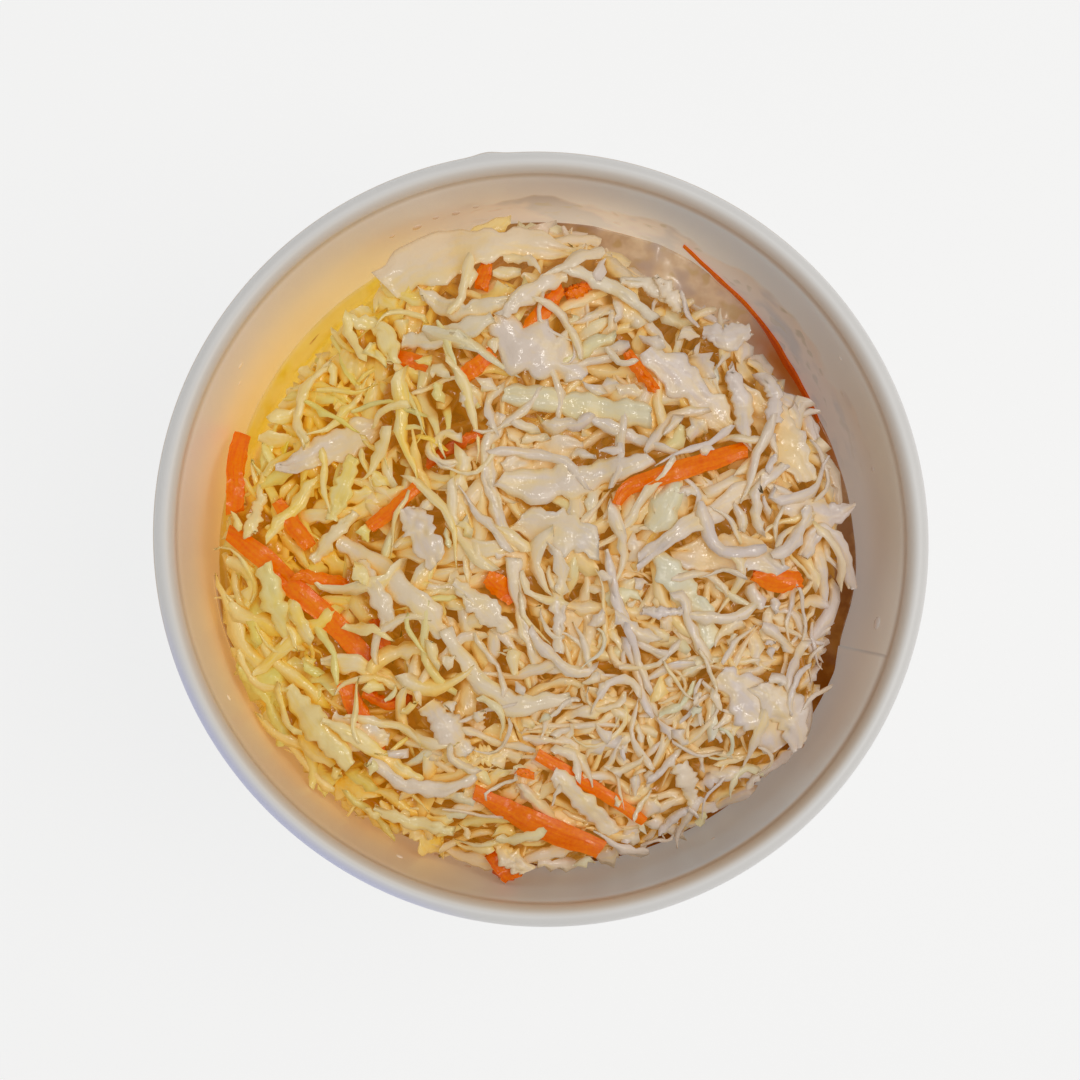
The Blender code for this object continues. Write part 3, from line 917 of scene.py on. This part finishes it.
# Shreds of cabbage that stand out: how green, then the path.
STRIPS = [
    (0.0, [(-5.1, 15.9, 0.8), (-7.3, 11.2, 0.9), (-6.6, 6.6, 0.9), (-4.7, 0.3, 0.6)]),
    (0.0, [(-5.5, 7.4, 1.0), (1.0, 6.6, 2.2), (7.0, 7.8, 2.0), (13.7, 10.0, 0.8)]),
    (0.0, [(-26.3, -0.2, 0.8), (-20.5, -4.4, 1.6), (-16.0, -8.2, 1.5), (-12.4, -12.6, 1.2)]),
    (0.0, [(8.2, -1.6, 0.45), (9.4, -7.8, 0.6), (11.6, -13.0, 0.6), (16.2, -15.2, 0.5)]),
    (0.3, [(-32.9, -19.2, 0.7), (-30.3, -22.8, 1.5), (-27.0, -26.5, 1.5), (-24.4, -29.2, 0.8)]),
    (0.0, [(-28.1, -23.4, 0.5), (-24.0, -25.2, 1.0), (-19.2, -29.0, 1.1), (-15.4, -31.4, 0.6)]),
    (0.0, [(-22.0, -28.4, 0.5), (-17.6, -31.8, 0.9), (-12.4, -32.4, 0.9), (-8.4, -30.4, 0.5)]),
    (0.0, [(-28.4, -15.9, 0.4), (-25.4, -15.9, 1.4), (-21.2, -17.2, 1.1), (-16.8, -19.6, 0.6),
           (-12.4, -21.4, 0.8)]),
    (0.0, [(33.4, -2.4, 0.7), (35.4, 0.6, 1.0), (37.0, 1.4, 1.0), (39.2, -1.4, 0.9), (40.9, -6.4, 0.6)]),
    (0.9, [(14.4, -1.8, 0.8), (16.6, -4.6, 1.9), (19.6, -8.8, 1.9), (22.0, -13.6, 0.9)]),
    (0.7, [(-5.0, 18.2, 1.0), (0.6, 17.6, 1.6), (7.0, 16.4, 2.1), (14.0, 15.6, 1.2)]),
    (0.15, [(-15.6, 31.6, 0.8), (-10.6, 28.9, 1.5), (-4.2, 30.0, 0.8)]),
    (0.25, [(-18.0, 25.6, 0.8), (-12.4, 25.6, 1.3), (-6.2, 28.0, 0.9)]),
    (0.0, [(-5.2, 28.2, 0.7), (-1.2, 31.8, 1.2), (3.2, 34.2, 1.0)]),
    (0.0, [(-27.4, 23.2, 0.5), (-31.0, 19.6, 0.7), (-32.0, 15.2, 0.6), (-30.4, 12.2, 0.5)]),
    (0.0, [(-10.2, 12.6, 0.5), (-12.6, 13.4, 0.6), (-14.6, 11.0, 0.6), (-12.4, 9.2, 0.6), (-9.6, 10.0, 0.5)]),
    (0.0, [(12.2, -3.2, 0.8), (18.4, 1.6, 1.3), (24.4, 5.0, 1.3), (31.0, 9.4, 0.8)]),
    (0.0, [(28.6, 21.4, 0.8), (30.4, 18.6, 1.0), (30.0, 14.6, 0.8)]),
    (0.0, [(24.4, 22.0, 0.8), (26.0, 17.2, 1.3), (26.0, 12.4, 0.7)]),
    (0.3, [(10.2, 33.4, 0.5), (14.0, 33.2, 0.9), (17.6, 30.2, 0.5)]),
    (0.3, [(2.6, 34.6, 0.5), (6.0, 33.8, 0.9), (10.5, 31.8, 0.9), (14.6, 28.2, 0.5)]),
    (0.1, [(6.0, 15.4, 0.5), (10.0, 13.6, 0.8), (14.0, 11.8, 0.6), (17.4, 10.6, 0.3)]),
    (0.0, [(-22.9, -2.8, 0.7), (-20.8, -7.4, 1.3), (-18.8, -11.6, 0.9)]),
    (0.0, [(-11.2, -5.8, 0.5), (-8.0, -8.6, 1.6), (-4.2, -11.8, 1.1)]),
    (0.1, [(-12.2, -11.6, 0.8), (-8.6, -18.0, 1.3), (-3.6, -21.6, 1.4), (3.7, -20.6, 0.9)]),
    (0.0, [(-3.8, -2.6, 0.8), (-2.4, -11.4, 0.8), (-0.4, -16.6, 0.9), (3.4, -16.6, 0.5)]),
    (0.0, [(1.8, -5.2, 0.8), (2.2, -10.0, 0.8), (2.0, -14.6, 0.6)]),
    (0.4, [(-21.6, -35.0, 0.5), (-16.4, -36.8, 0.9), (-11.2, -37.7, 0.6)]),
    (0.0, [(1.5, -29.9, 0.8), (5.0, -33.4, 1.2), (9.4, -38.0, 1.2)]),
    (0.0, [(17.6, -29.0, 1.3), (18.8, -31.6, 1.1), (19.8, -34.4, 0.6)]),
    (0.0, [(-36.4, 6.2, 0.8), (-37.2, 3.0, 0.9), (-37.8, 0.4, 0.6)]),
    (0.7, [(-35.6, -3.4, 1.0), (-34.4, -8.6, 1.5), (-31.6, -14.6, 0.9)]),
    (0.0, [(-14.6, -21.2, 1.2), (-12.4, -24.2, 1.8), (-9.2, -27.6, 1.0)]),
    (0.0, [(12.8, -9.3, 0.5), (15.2, -9.6, 0.7), (18.0, -9.4, 0.5)]),
    (0.2, [(-25.0, 28.6, 0.8), (-20.6, 27.2, 1.2), (-19.0, 22.6, 0.9)]),
    (0.5, [(-27.2, 2.4, 0.8), (-25.6, 6.6, 1.3), (-24.2, 10.6, 0.8)]),
    (0.0, [(-29.6, -3.0, 0.7), (-26.4, 0.8, 1.0), (-24.0, 3.4, 0.6)]),
    (0.0, [(14.8, 34.2, 0.2), (16.4, 32.2, 1.1), (18.4, 29.8, 0.9)]),
    (0.0, [(-6.0, -38.8, 0.8), (-4.2, -41.0, 1.3), (-1.8, -43.0, 1.0)]),
]

# Flat bits of leaf that stand out, given in the same way.
FLAKES = [
    (0.0, [(-20.4, 33.0, 2.0), (-15.4, 36.2, 3.2), (-9.0, 37.9, 3.1), (-1.6, 38.2, 2.2), (4.4, 37.4, 0.7)]),
    (0.0, [(-5.9, 28.4, 1.2), (-3.4, 25.4, 3.4), (0.2, 23.4, 3.7), (3.8, 22.0, 2.4), (5.4, 20.6, 0.8)]),
    (0.0, [(-17.4, 3.8, 1.2), (-15.4, 1.4, 2.1), (-14.2, -1.6, 1.9), (-13.4, -3.4, 0.9)]),
    (0.1, [(-4.6, 8.4, 1.2), (-1.2, 10.4, 2.2), (2.6, 11.4, 2.0), (5.4, 11.6, 0.9)]),
    (0.15, [(-3.2, 2.0, 1.4), (0.4, 1.4, 2.6), (4.4, 0.4, 2.6), (7.2, -1.4, 1.2)]),
    (0.0, [(22.6, -17.4, 1.2), (25.8, -19.8, 2.8), (28.6, -23.0, 3.2), (30.6, -27.0, 1.6)]),
    (0.0, [(27.4, -18.8, 1.2), (30.6, -21.6, 2.6), (32.6, -24.4, 2.2), (33.0, -27.0, 0.9)]),
    (0.0, [(29.4, 5.6, 0.9), (33.6, 3.6, 2.2), (36.8, 2.8, 2.1), (39.2, 3.2, 1.1), (40.8, 4.4, 0.3)]),
    (0.0, [(-34.6, 9.4, 0.4), (-31.0, 10.0, 1.5), (-27.0, 11.8, 2.4), (-23.0, 13.6, 2.0),
           (-20.4, 14.6, 1.0)]),
    (0.0, [(13.4, 24.0, 1.0), (17.4, 20.8, 2.4), (21.2, 17.4, 2.4), (24.4, 14.2, 1.2)]),
    (0.1, [(27.4, 27.4, 0.8), (24.0, 26.2, 1.8), (21.2, 27.2, 0.8)]),
    (0.0, [(24.6, 19.6, 1.2), (28.4, 16.4, 2.3), (32.0, 11.6, 2.5), (34.6, 7.4, 1.4)]),
    (0.0, [(16.4, -2.0, 1.0), (21.6, -2.2, 2.2), (26.8, -1.6, 2.2), (30.6, -4.4, 1.0)]),
    (0.1, [(-27.0, -23.4, 1.0), (-23.6, -25.4, 2.0), (-19.6, -25.6, 1.0)]),
]

# Random fill: kind, share of the pieces, length, half-width and thickness in millimetres, bend, wave,
# raggedness, share of pointed ends, droop per metre, sinking in millimetres.
LOOSE = [
    ("broad_shreds", 0.58, (8, 20), (0.45, 1.25), (0.35, 0.70), 1.1, 0.30, 0.20, 0.60, 190, 0.12),
    ("fine_shreds", 0.10, (6, 15), (0.28, 0.46), (0.32, 0.50), 1.2, 0.40, 0.12, 0.50, 170, 0.08),
    ("leaf_flakes", 0.17, (4.5, 11), (1.1, 2.2), (0.30, 0.55), 0.7, 0.25, 0.34, 0.60, 240, 0.08),
    ("chopped_bits", 0.15, (2.0, 5.5), (0.55, 1.35), (0.40, 0.85), 0.7, 0.20, 0.38, 0.50, 200, 0.18),
]
MATTED = [
    ("matted_shreds", 0.54, (7, 17), (0.40, 1.15), (0.32, 0.65), 1.1, 0.30, 0.20, 0.60, 360, 0.20),
    ("fine_shreds", 0.12, (5, 12), (0.26, 0.42), (0.28, 0.42), 1.2, 0.40, 0.12, 0.50, 350, 0.14),
    ("leaf_flakes", 0.17, (4.0, 9), (0.9, 1.9), (0.28, 0.50), 0.7, 0.25, 0.34, 0.60, 400, 0.14),
    ("chopped_bits", 0.17, (1.8, 4.8), (0.50, 1.15), (0.38, 0.75), 0.7, 0.20, 0.38, 0.50, 300, 0.20),
]
LONG = [
    ("long_shreds", 0.70, (12, 23), (0.50, 1.25), (0.35, 0.65), 1.1, 0.30, 0.20, 0.70, 180, 0.10),
    ("torn_leaves", 0.30, (5, 10), (1.2, 2.4), (0.35, 0.55), 0.4, 0.20, 0.28, 0.60, 200, 0.08),
]
STRAY = [
    ("fine_shreds", 0.20, (5, 11), (0.26, 0.40), (0.30, 0.48), 1.2, 0.40, 0.12, 0.50, 260, 0.08),
    ("chopped_bits", 0.35, (1.6, 4.2), (0.45, 0.95), (0.40, 0.80), 0.7, 0.20, 0.26, 0.50, 260, 0.20),
    ("broad_shreds", 0.45, (6, 15), (0.42, 1.00), (0.32, 0.60), 1.1, 0.32, 0.20, 0.60, 260, 0.12),
]

# The layers of random fill: the table, how many strips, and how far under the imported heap's outline lies the
# surface that their spots are weighed against, in millimetres. It doesn't stop the pile from growing past it.
LAYERS = [(LOOSE, 2450, 1.0), (MATTED, 2400, 0.6), (LONG, 150, 0.3), (MATTED, 600, 0.2)]
STRAY_COUNT = 260


def fineness(xy):
    """The size of the shreds at xy against the others: they are cut finer at the lower right."""
    x, y = xy / MM
    return 1.0 - 0.26 * unit((x - y + 4) / 24) * unit((6 - y) / 12)


def lay_random(rng, pile, target, kinds, table, count, swirl):
    """Lays count random strips, of the table's kinds in their shares, where the pile is lowest.

    All of them are laid, however high the pile has grown."""
    shares = np.cumsum([row[1] for row in table])
    for draw in rng.random(count) * shares[-1]:
        row = table[int(np.searchsorted(shares, draw))]
        name, _, length, half_width, thickness, bend, wave, ragged, pointed, droop, sink = row
        kind = kinds[name]
        outline, taper = random_strip(rng, kind, length, half_width, bend, wave, ragged, pointed)
        here = spot(rng, pile, target)
        outline = outline * fineness(here)
        turn = heading_at(rng, here, swirl)
        spin = np.array([[math.cos(turn), math.sin(turn)], [-math.sin(turn), math.cos(turn)]])
        thick = rng.uniform(*thickness) * MM * (0.6 + 0.4 * taper)
        droop = droop * rng.uniform(0.7, 1.5)
        traits = traits_for(rng, here, GREEN_SHARE)
        kind.lay(rng, pile, outline @ spin + here, thick, droop, sink * MM, traits)


def lay_paths(rng, pile, kind, rows, thickness, ragged, droop, warm=0.8):
    """Lays the strips that are given by their paths, one after the other."""
    for trait, path in rows:
        line = smooth_line(path, kind.rows)
        outline = widened(rng, line[:, :2], line[:, 2], kind.columns, ragged, rng.normal(0, 0.5))
        traits = traits_for(rng, line[kind.rows // 2, :2], 0.0)
        traits |= {"twist": 0.12, "crumple": 0.10 * MM, "margin": 0.0}
        if kind.slot == "carrot":
            traits["tone"] = trait
        else:
            traits |= {"green": trait * 0.6, "tone": traits["tone"] * 0.6, "warmth": traits["warmth"] * warm}
        kind.lay(rng, pile, outline, np.full(kind.rows, thickness * MM), droop, 0.05 * MM, traits)


def lay_on_wall(rng, kind, rows, thickness):
    """Strips stuck to the wall, given by paths of (azimuth in degrees, height, half-width in millimetres).

    Each side is moved out by the half-width, times one plus a quick waver, at right angles to the path."""
    wall = bore(STUCK_HEIGHT)
    for tone, path in rows:
        azimuth, z, half = np.array(path, float).T
        at = np.linspace(0, len(path) - 1, kind.rows)
        azimuth, z, half = (np.interp(at, np.arange(len(path)), column) for column in (azimuth, z, half))
        turns = np.radians(azimuth)
        way = np.stack([np.gradient(turns) * wall, np.gradient(z) * MM], axis=-1)
        way /= np.linalg.norm(way, axis=1, keepdims=True)
        jag = np.clip(1 + 0.12 * waver(rng, kind.rows, 6), 0.3, 2)
        reach = np.linspace(-1, 1, kind.columns) * (half * jag)[:, None] * MM
        turns = turns[:, None] + way[:, 1:] * reach / wall
        height = z[:, None] * MM - way[:, :1] * reach
        kind.grids.append(squeezed(turns, bore(height) - thickness * 0.4 * MM, height))
        kind.thick.append(np.full(kind.rows, thickness * MM))
        kind.traits.append([tone, 0.3, 0.0, 0.0, rng.random()])


# Where the film's upper edge runs on the wall at the upper right: azimuths in degrees, heights.
FILM_EDGE = (18, 25, 36, 44, 50, 55, 62, 75, 90), (35.6, 35.2, 35.4, 37.4, 39.2, 40.2, 42.0, 42.6, 41.0)

# Shreds stuck to the wall: tone, then the path of (azimuth in degrees, height, half-width in millimetres).
WALL_SHREDS = [
    (0.55, [(231, 34.0, 0.6), (224, 36.5, 0.9), (214, 39.5, 1.0), (204, 42.0, 1.0), (194, 43.5, 0.9),
            (186, 43.5, 0.6)]),
]
WALL_CARROTS = [
    (0.4, [(64, 46.5, 0.12), (60, 43.8, 0.35), (55, 41.6, 0.45), (49, 40.4, 0.45), (43, 38.6, 0.5)]),
    (0.9, [(47, 39.9, 0.3), (41, 38.0, 0.7), (36, 36.0, 1.1), (29, 34.6, 1.5), (23, 34.0, 1.5),
           (17, 34.8, 0.7)]),
    (1.0, [(-92, 40.0, 1.1), (-95, 43.0, 1.2), (-96.5, 46.0, 1.25), (-96, 48.6, 1.2), (-95.5, 50.2, 0.7)]),
]

# Pits between the shreds: the depth that shades them, then their middles, radii and depths in millimetres.
PIT_SHADE = 2.4 * MM
PITS = [
    (-12.5, 17.0, 3.6, 4.2), (-16.5, 11.5, 3.4, 4.0), (-11.0, 12.0, 2.4, 3.0), (-21.0, -16.8, 3.0, 3.4),
    (-12.4, -18.6, 3.4, 3.4), (-16.2, -22.6, 2.8, 3.0), (13.4, -5.6, 2.2, 1.4), (9.0, -15.6, 2.2, 1.6),
    (-29.6, -15.2, 2.0, 1.8), (-4.6, -23.6, 2.4, 1.4), (-23.8, -8.6, 2.2, 1.8), (-31.4, 8.2, 2.0, 1.4),
    (-13.0, -10.4, 2.0, 1.6),
]


def pits(places):
    """How far the pits lower the pile at places (..., 2): a sum of bells."""
    x, y, radius, depth = np.array(PITS).T * MM
    apart = (places[..., None, 0] - x) ** 2 + (places[..., None, 1] - y) ** 2
    return (depth * np.exp(-apart / radius**2)).sum(axis=-1)


def make_slaw():
    """Lays the slaw on the core and makes a piece for each kind. It ends about 10 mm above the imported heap."""
    rng = np.random.default_rng(SEED)
    across, target = heap_heights()
    places = np.stack(np.meshgrid(across, across, indexing="ij"), axis=-1)
    hollowed = target + HOLLOWS * Swirl(rng, 5 * MM, 14 * MM, 14).at(places) - pits(places)
    pile = Pile(across, hollowed - LAYER)
    start = pile.top.copy()
    made = [
        Kind("broad_shreds", 10, 3, edge=0.3),
        Kind("matted_shreds", 10, 3, edge=0.3),
        Kind("fine_shreds", 9, 2),
        Kind("leaf_flakes", 7, 4, edge=0.35),
        Kind("chopped_bits", 5, 4, edge=0.35),
        Kind("long_shreds", 36, 7, edge=0.35),
        Kind("torn_leaves", 30, 13, edge=0.35),
        Kind("carrot_shreds", 24, 5, "carrot", 0.7, 50),
    ]
    kinds = {kind.name: kind for kind in made}
    swirl = Swirl(rng, 22 * MM, 60 * MM, 5)
    for table, count, below in LAYERS:
        lay_random(rng, pile, hollowed - below * MM, kinds, table, count, swirl)
    lay_paths(rng, pile, kinds["carrot_shreds"], CARROTS, 0.9, 0.04, 160)
    lay_paths(rng, pile, kinds["torn_leaves"], FLAKES[:1], 0.5, 0.14, 120, 0.5)
    lay_paths(rng, pile, kinds["torn_leaves"], FLAKES[1:], 0.5, 0.14, 120, 0.3)
    lay_paths(rng, pile, kinds["long_shreds"], STRIPS, 0.8, 0.16, 160)
    lay_random(rng, pile, target, kinds, STRAY, STRAY_COUNT, swirl)
    lay_on_wall(rng, kinds["carrot_shreds"], WALL_CARROTS, 0.5)
    lay_on_wall(rng, kinds["long_shreds"], WALL_SHREDS, 0.5)
    cabbage, carrot = cabbage_finish(), carrot_finish()
    for kind in kinds.values():
        kind.finished(pile, carrot if kind.slot == "carrot" else cabbage)
    return across, start, pile


def core(across, start, finish):
    """The smaller core: the pile's first surface with fine relief, closed by a side and a floor.

    The relief is a product of two sines, both of the radius and the azimuth. Where dressing lies open the
    top's outer edge sinks in proportion to how far out it lies."""
    rings, spokes = 60, 200
    share = np.linspace(1, 0.02, rings)[:, None]
    azimuth = all_round(spokes)
    bed = Pile(across, start)
    r = share * (bore(30 * MM) - GAP) + 0 * azimuth
    a = azimuth + 0 * share
    xy = polar(r, a)
    relief = 0.5 * MM * np.sin(r * 2100 + 3 * np.sin(5 * a)) * np.sin(a * 41 + r * 900)
    drawn_back = 1.6 * MM * bared(a) * np.clip(share * 8 - 6.4, 0, 1)
    top = np.dstack([xy, bed.top[bed.cell(xy)] + relief - drawn_back])
    floor = BASE_TOP + GAP
    levels = np.array([floor, 14 * MM, 22 * MM])
    side = turned(bore(levels) - GAP, levels, azimuth)
    middle = float(bed.top[bed.cell(np.zeros(2))])
    points, faces = closed(np.concatenate([side, top]), (0, 0, floor), (0, 0, middle))
    return piece("slaw_core", points, faces, finish, ["coleslaw"])


def dressing(pile, finish):
    """The dressing that fills the corner between the slaw and the wall, widest at the upper left and right.

    From the wall inwards its top falls by the square of what is left of its width, to just under the
    shreds; random waves make it lumpy. Its underside runs back 1.2 mm lower."""
    azimuth = all_round(ROUND_STEPS)
    left = dressed(azimuth)
    right = filmed(azimuth) * (1 - left)
    inward = np.linspace(0, 1, 18)[:, None]
    low = sunken(azimuth)
    wide = (1.8 + 6.2 * left + np.maximum(6.2 * right, 3.4 * low)) * MM
    at_wall = pile.smooth(5)[pile.cell(polar(bore(SLAW_EDGE) - 1.5 * MM, azimuth))]
    at_wall = at_wall + (0.7 - 1.6 * low) * MM
    at_wall = sum(np.roll(at_wall, k) for k in range(-8, 9)) / 17
    film_edge = np.interp(np.degrees(azimuth), *FILM_EDGE) * MM
    at_wall = np.minimum(at_wall, 42 * MM) * (1 - left - right) + left * 36.6 * MM + right * film_edge
    fall = (1.2 - 0.7 * left + 0.3 * right) * MM
    r = bore(at_wall) + 0.1 * MM - wide * inward
    a = azimuth + 0 * r
    xy = polar(r, a)
    waves = Swirl(np.random.default_rng(SEED), 3 * MM, 9 * MM, 12)
    lumps = 0.12 * MM * waves.at(xy) * (0.5 + 0.5 * left + right)
    top = at_wall - (1 - (1 - inward) ** 2) * fall
    soaked = pile.smooth(9)[pile.cell(xy)] - 0.5 * MM
    top = top + np.maximum(soaked - top, 0) * left * np.clip(inward * 2, 0, 1)
    top = top + lumps * np.sin(math.pi * inward)
    upper = squeezed(a, r, top)
    lower = squeezed(a, r - 0.1 * MM * (1 - inward), top - 1.2 * MM)[::-1]
    points = np.concatenate([upper, lower])
    shares = np.stack([left + 0 * r, right + 0 * r, inward + 0 * r], axis=-1)
    attributes = {"dressed": np.concatenate([shares, shares[::-1]])}
    faces = ring_faces(*points.shape[:2], True)
    return piece("dressing_film", points, faces, finish, (), attributes)


# Droplets on the wall: azimuth in degrees, height and radius in millimetres.
DROPS = [
    (-14.0, 52.5, 0.9), (-22.5, 47.0, 0.5), (12.0, 50.5, 0.45), (31.0, 55.2, 0.4), (101.0, 49.8, 0.45),
    (104.5, 49.0, 0.6), (108.0, 49.4, 0.5), (111.5, 48.2, 0.7), (116.0, 48.8, 0.45), (150.0, 52.0, 0.5),
    (152.5, 48.6, 0.4), (207.0, 54.0, 0.5), (246.0, 52.6, 0.55), (252.0, 45.0, 0.6), (257.5, 46.4, 0.5),
    (262.0, 44.8, 0.65), (300.0, 51.0, 0.4), (322.0, 46.5, 0.5),
]


def droplets(finish):
    """Beads on the wall: domes that fall as the square root of one minus the squared distance out."""
    azimuth, z, radius = np.array(DROPS).T[:, :, None, None]
    out = np.array([1.0, 0.92, 0.72, 0.38, 0.04])[:, None]
    rows, columns = len(out), 12
    turn = np.linspace(0, math.tau, columns, endpoint=False)[None, :]
    up = z * MM + radius * MM * out * np.sin(turn) * 1.15
    round_wall = np.radians(azimuth) + radius * MM * out * np.cos(turn) / bore(z * MM)
    rise = radius * MM * 0.35 * np.sqrt(1 - out**2 * 0.999) - 0.05 * MM
    points = squeezed(round_wall, bore(up) - rise, up)
    first = np.arange(len(DROPS)) * rows * columns
    faces = (ring_faces(rows, columns)[None] + first[:, None, None]).reshape(-1, 4).tolist()
    ring = np.arange(columns)
    faces += (first[:, None] + (rows - 1) * columns + ring).tolist()
    faces += (first[:, None] + ring[::-1]).tolist()
    return piece("dressing_drops", points, faces, finish)


# ---------------------------------------------------------------- stage

# Small lamps that only give wet glints, in metres.
GLINTS = [(-0.16, 0.20, 0.62), (0.10, 0.22, 0.60), (-0.06, -0.18, 0.64), (0.22, -0.10, 0.60)]


def stage():
    """A plain pale floor, soft light and a camera that looks almost straight down on the cup."""
    mesh = bpy.data.meshes.new("floor")
    side = 3.0
    corners = [(-side, -side, 0), (side, -side, 0), (side, side, 0), (-side, side, 0)]
    mesh.from_pydata(corners, [], [(0, 1, 2, 3)])
    made = Finish("pale_floor", Roughness=0.9, Specular_IOR_Level=0.0, Emission_Strength=0.716)
    mesh.materials.append(made.wear(Base_Color=(0.27, 0.27, 0.27), Emission_Color=(1.0, 1.0, 0.995)))
    placed("floor", mesh)
    world = bpy.data.worlds.new("soft_sky")
    world.use_nodes = True
    sky = world.node_tree.nodes["Background"].inputs
    sky["Color"].default_value = (0.97, 0.985, 1.0, 1.0)
    sky["Strength"].default_value = 0.50
    bpy.context.scene.world = world
    lamp("soft_window", (0.30, 0.02, 0.58), 0.42, 0.95, (1.0, 0.95, 0.88))
    for number, at in enumerate(GLINTS):
        lamp(f"glint_{number}", at, 0.035, 0.30, (1.0, 0.97, 0.92)).visible_diffuse = False
    camera()
    bpy.context.scene.view_settings.view_transform = "Standard"


def lamp(name, at, size, power, colour):
    """A square area lamp aimed at the slaw."""
    data = bpy.data.lights.new(name, "AREA")
    data.size, data.energy, data.color = size, power, colour
    made = placed(name, data)
    made.location = at
    aim = Vector((0, 0, SLAW_PEAK)) - Vector(at)
    made.rotation_euler = aim.to_track_quat("-Z", "Y").to_euler()
    return made


def camera():
    """The camera over the rim's middle, tipped a little to the front left, its x axis level."""
    data = bpy.data.cameras.new("camera")
    data.sensor_width = 36.0
    data.lens = data.sensor_width * CAMERA_DISTANCE * RIM_SHARE / (2 * RIM_RADIUS)
    data.clip_start, data.clip_end = 0.01, 10.0
    made = placed("camera", data)
    side = math.sin(CAMERA_TILT)
    back = Vector((side * math.cos(CAMERA_TURN), side * math.sin(CAMERA_TURN), math.cos(CAMERA_TILT)))
    aim = Vector((*CAMERA_MIDDLE, CUP_HEIGHT - ROLL_HEIGHT / 2))
    right = Vector((0, 1, 0)).cross(back).normalized()
    turned_to = Matrix((right, back.cross(right), back)).transposed().to_quaternion()
    made.matrix_world = Matrix.LocRotScale(aim + back * CAMERA_DISTANCE, turned_to, None)
    bpy.context.scene.camera = made


board = board_finish()
cup_wall(board)
cup_base(board)
across, start, pile = make_slaw()
core(across, start, core_finish())
dressing(pile, dressing_finish())
droplets(droplet_finish())
stage()
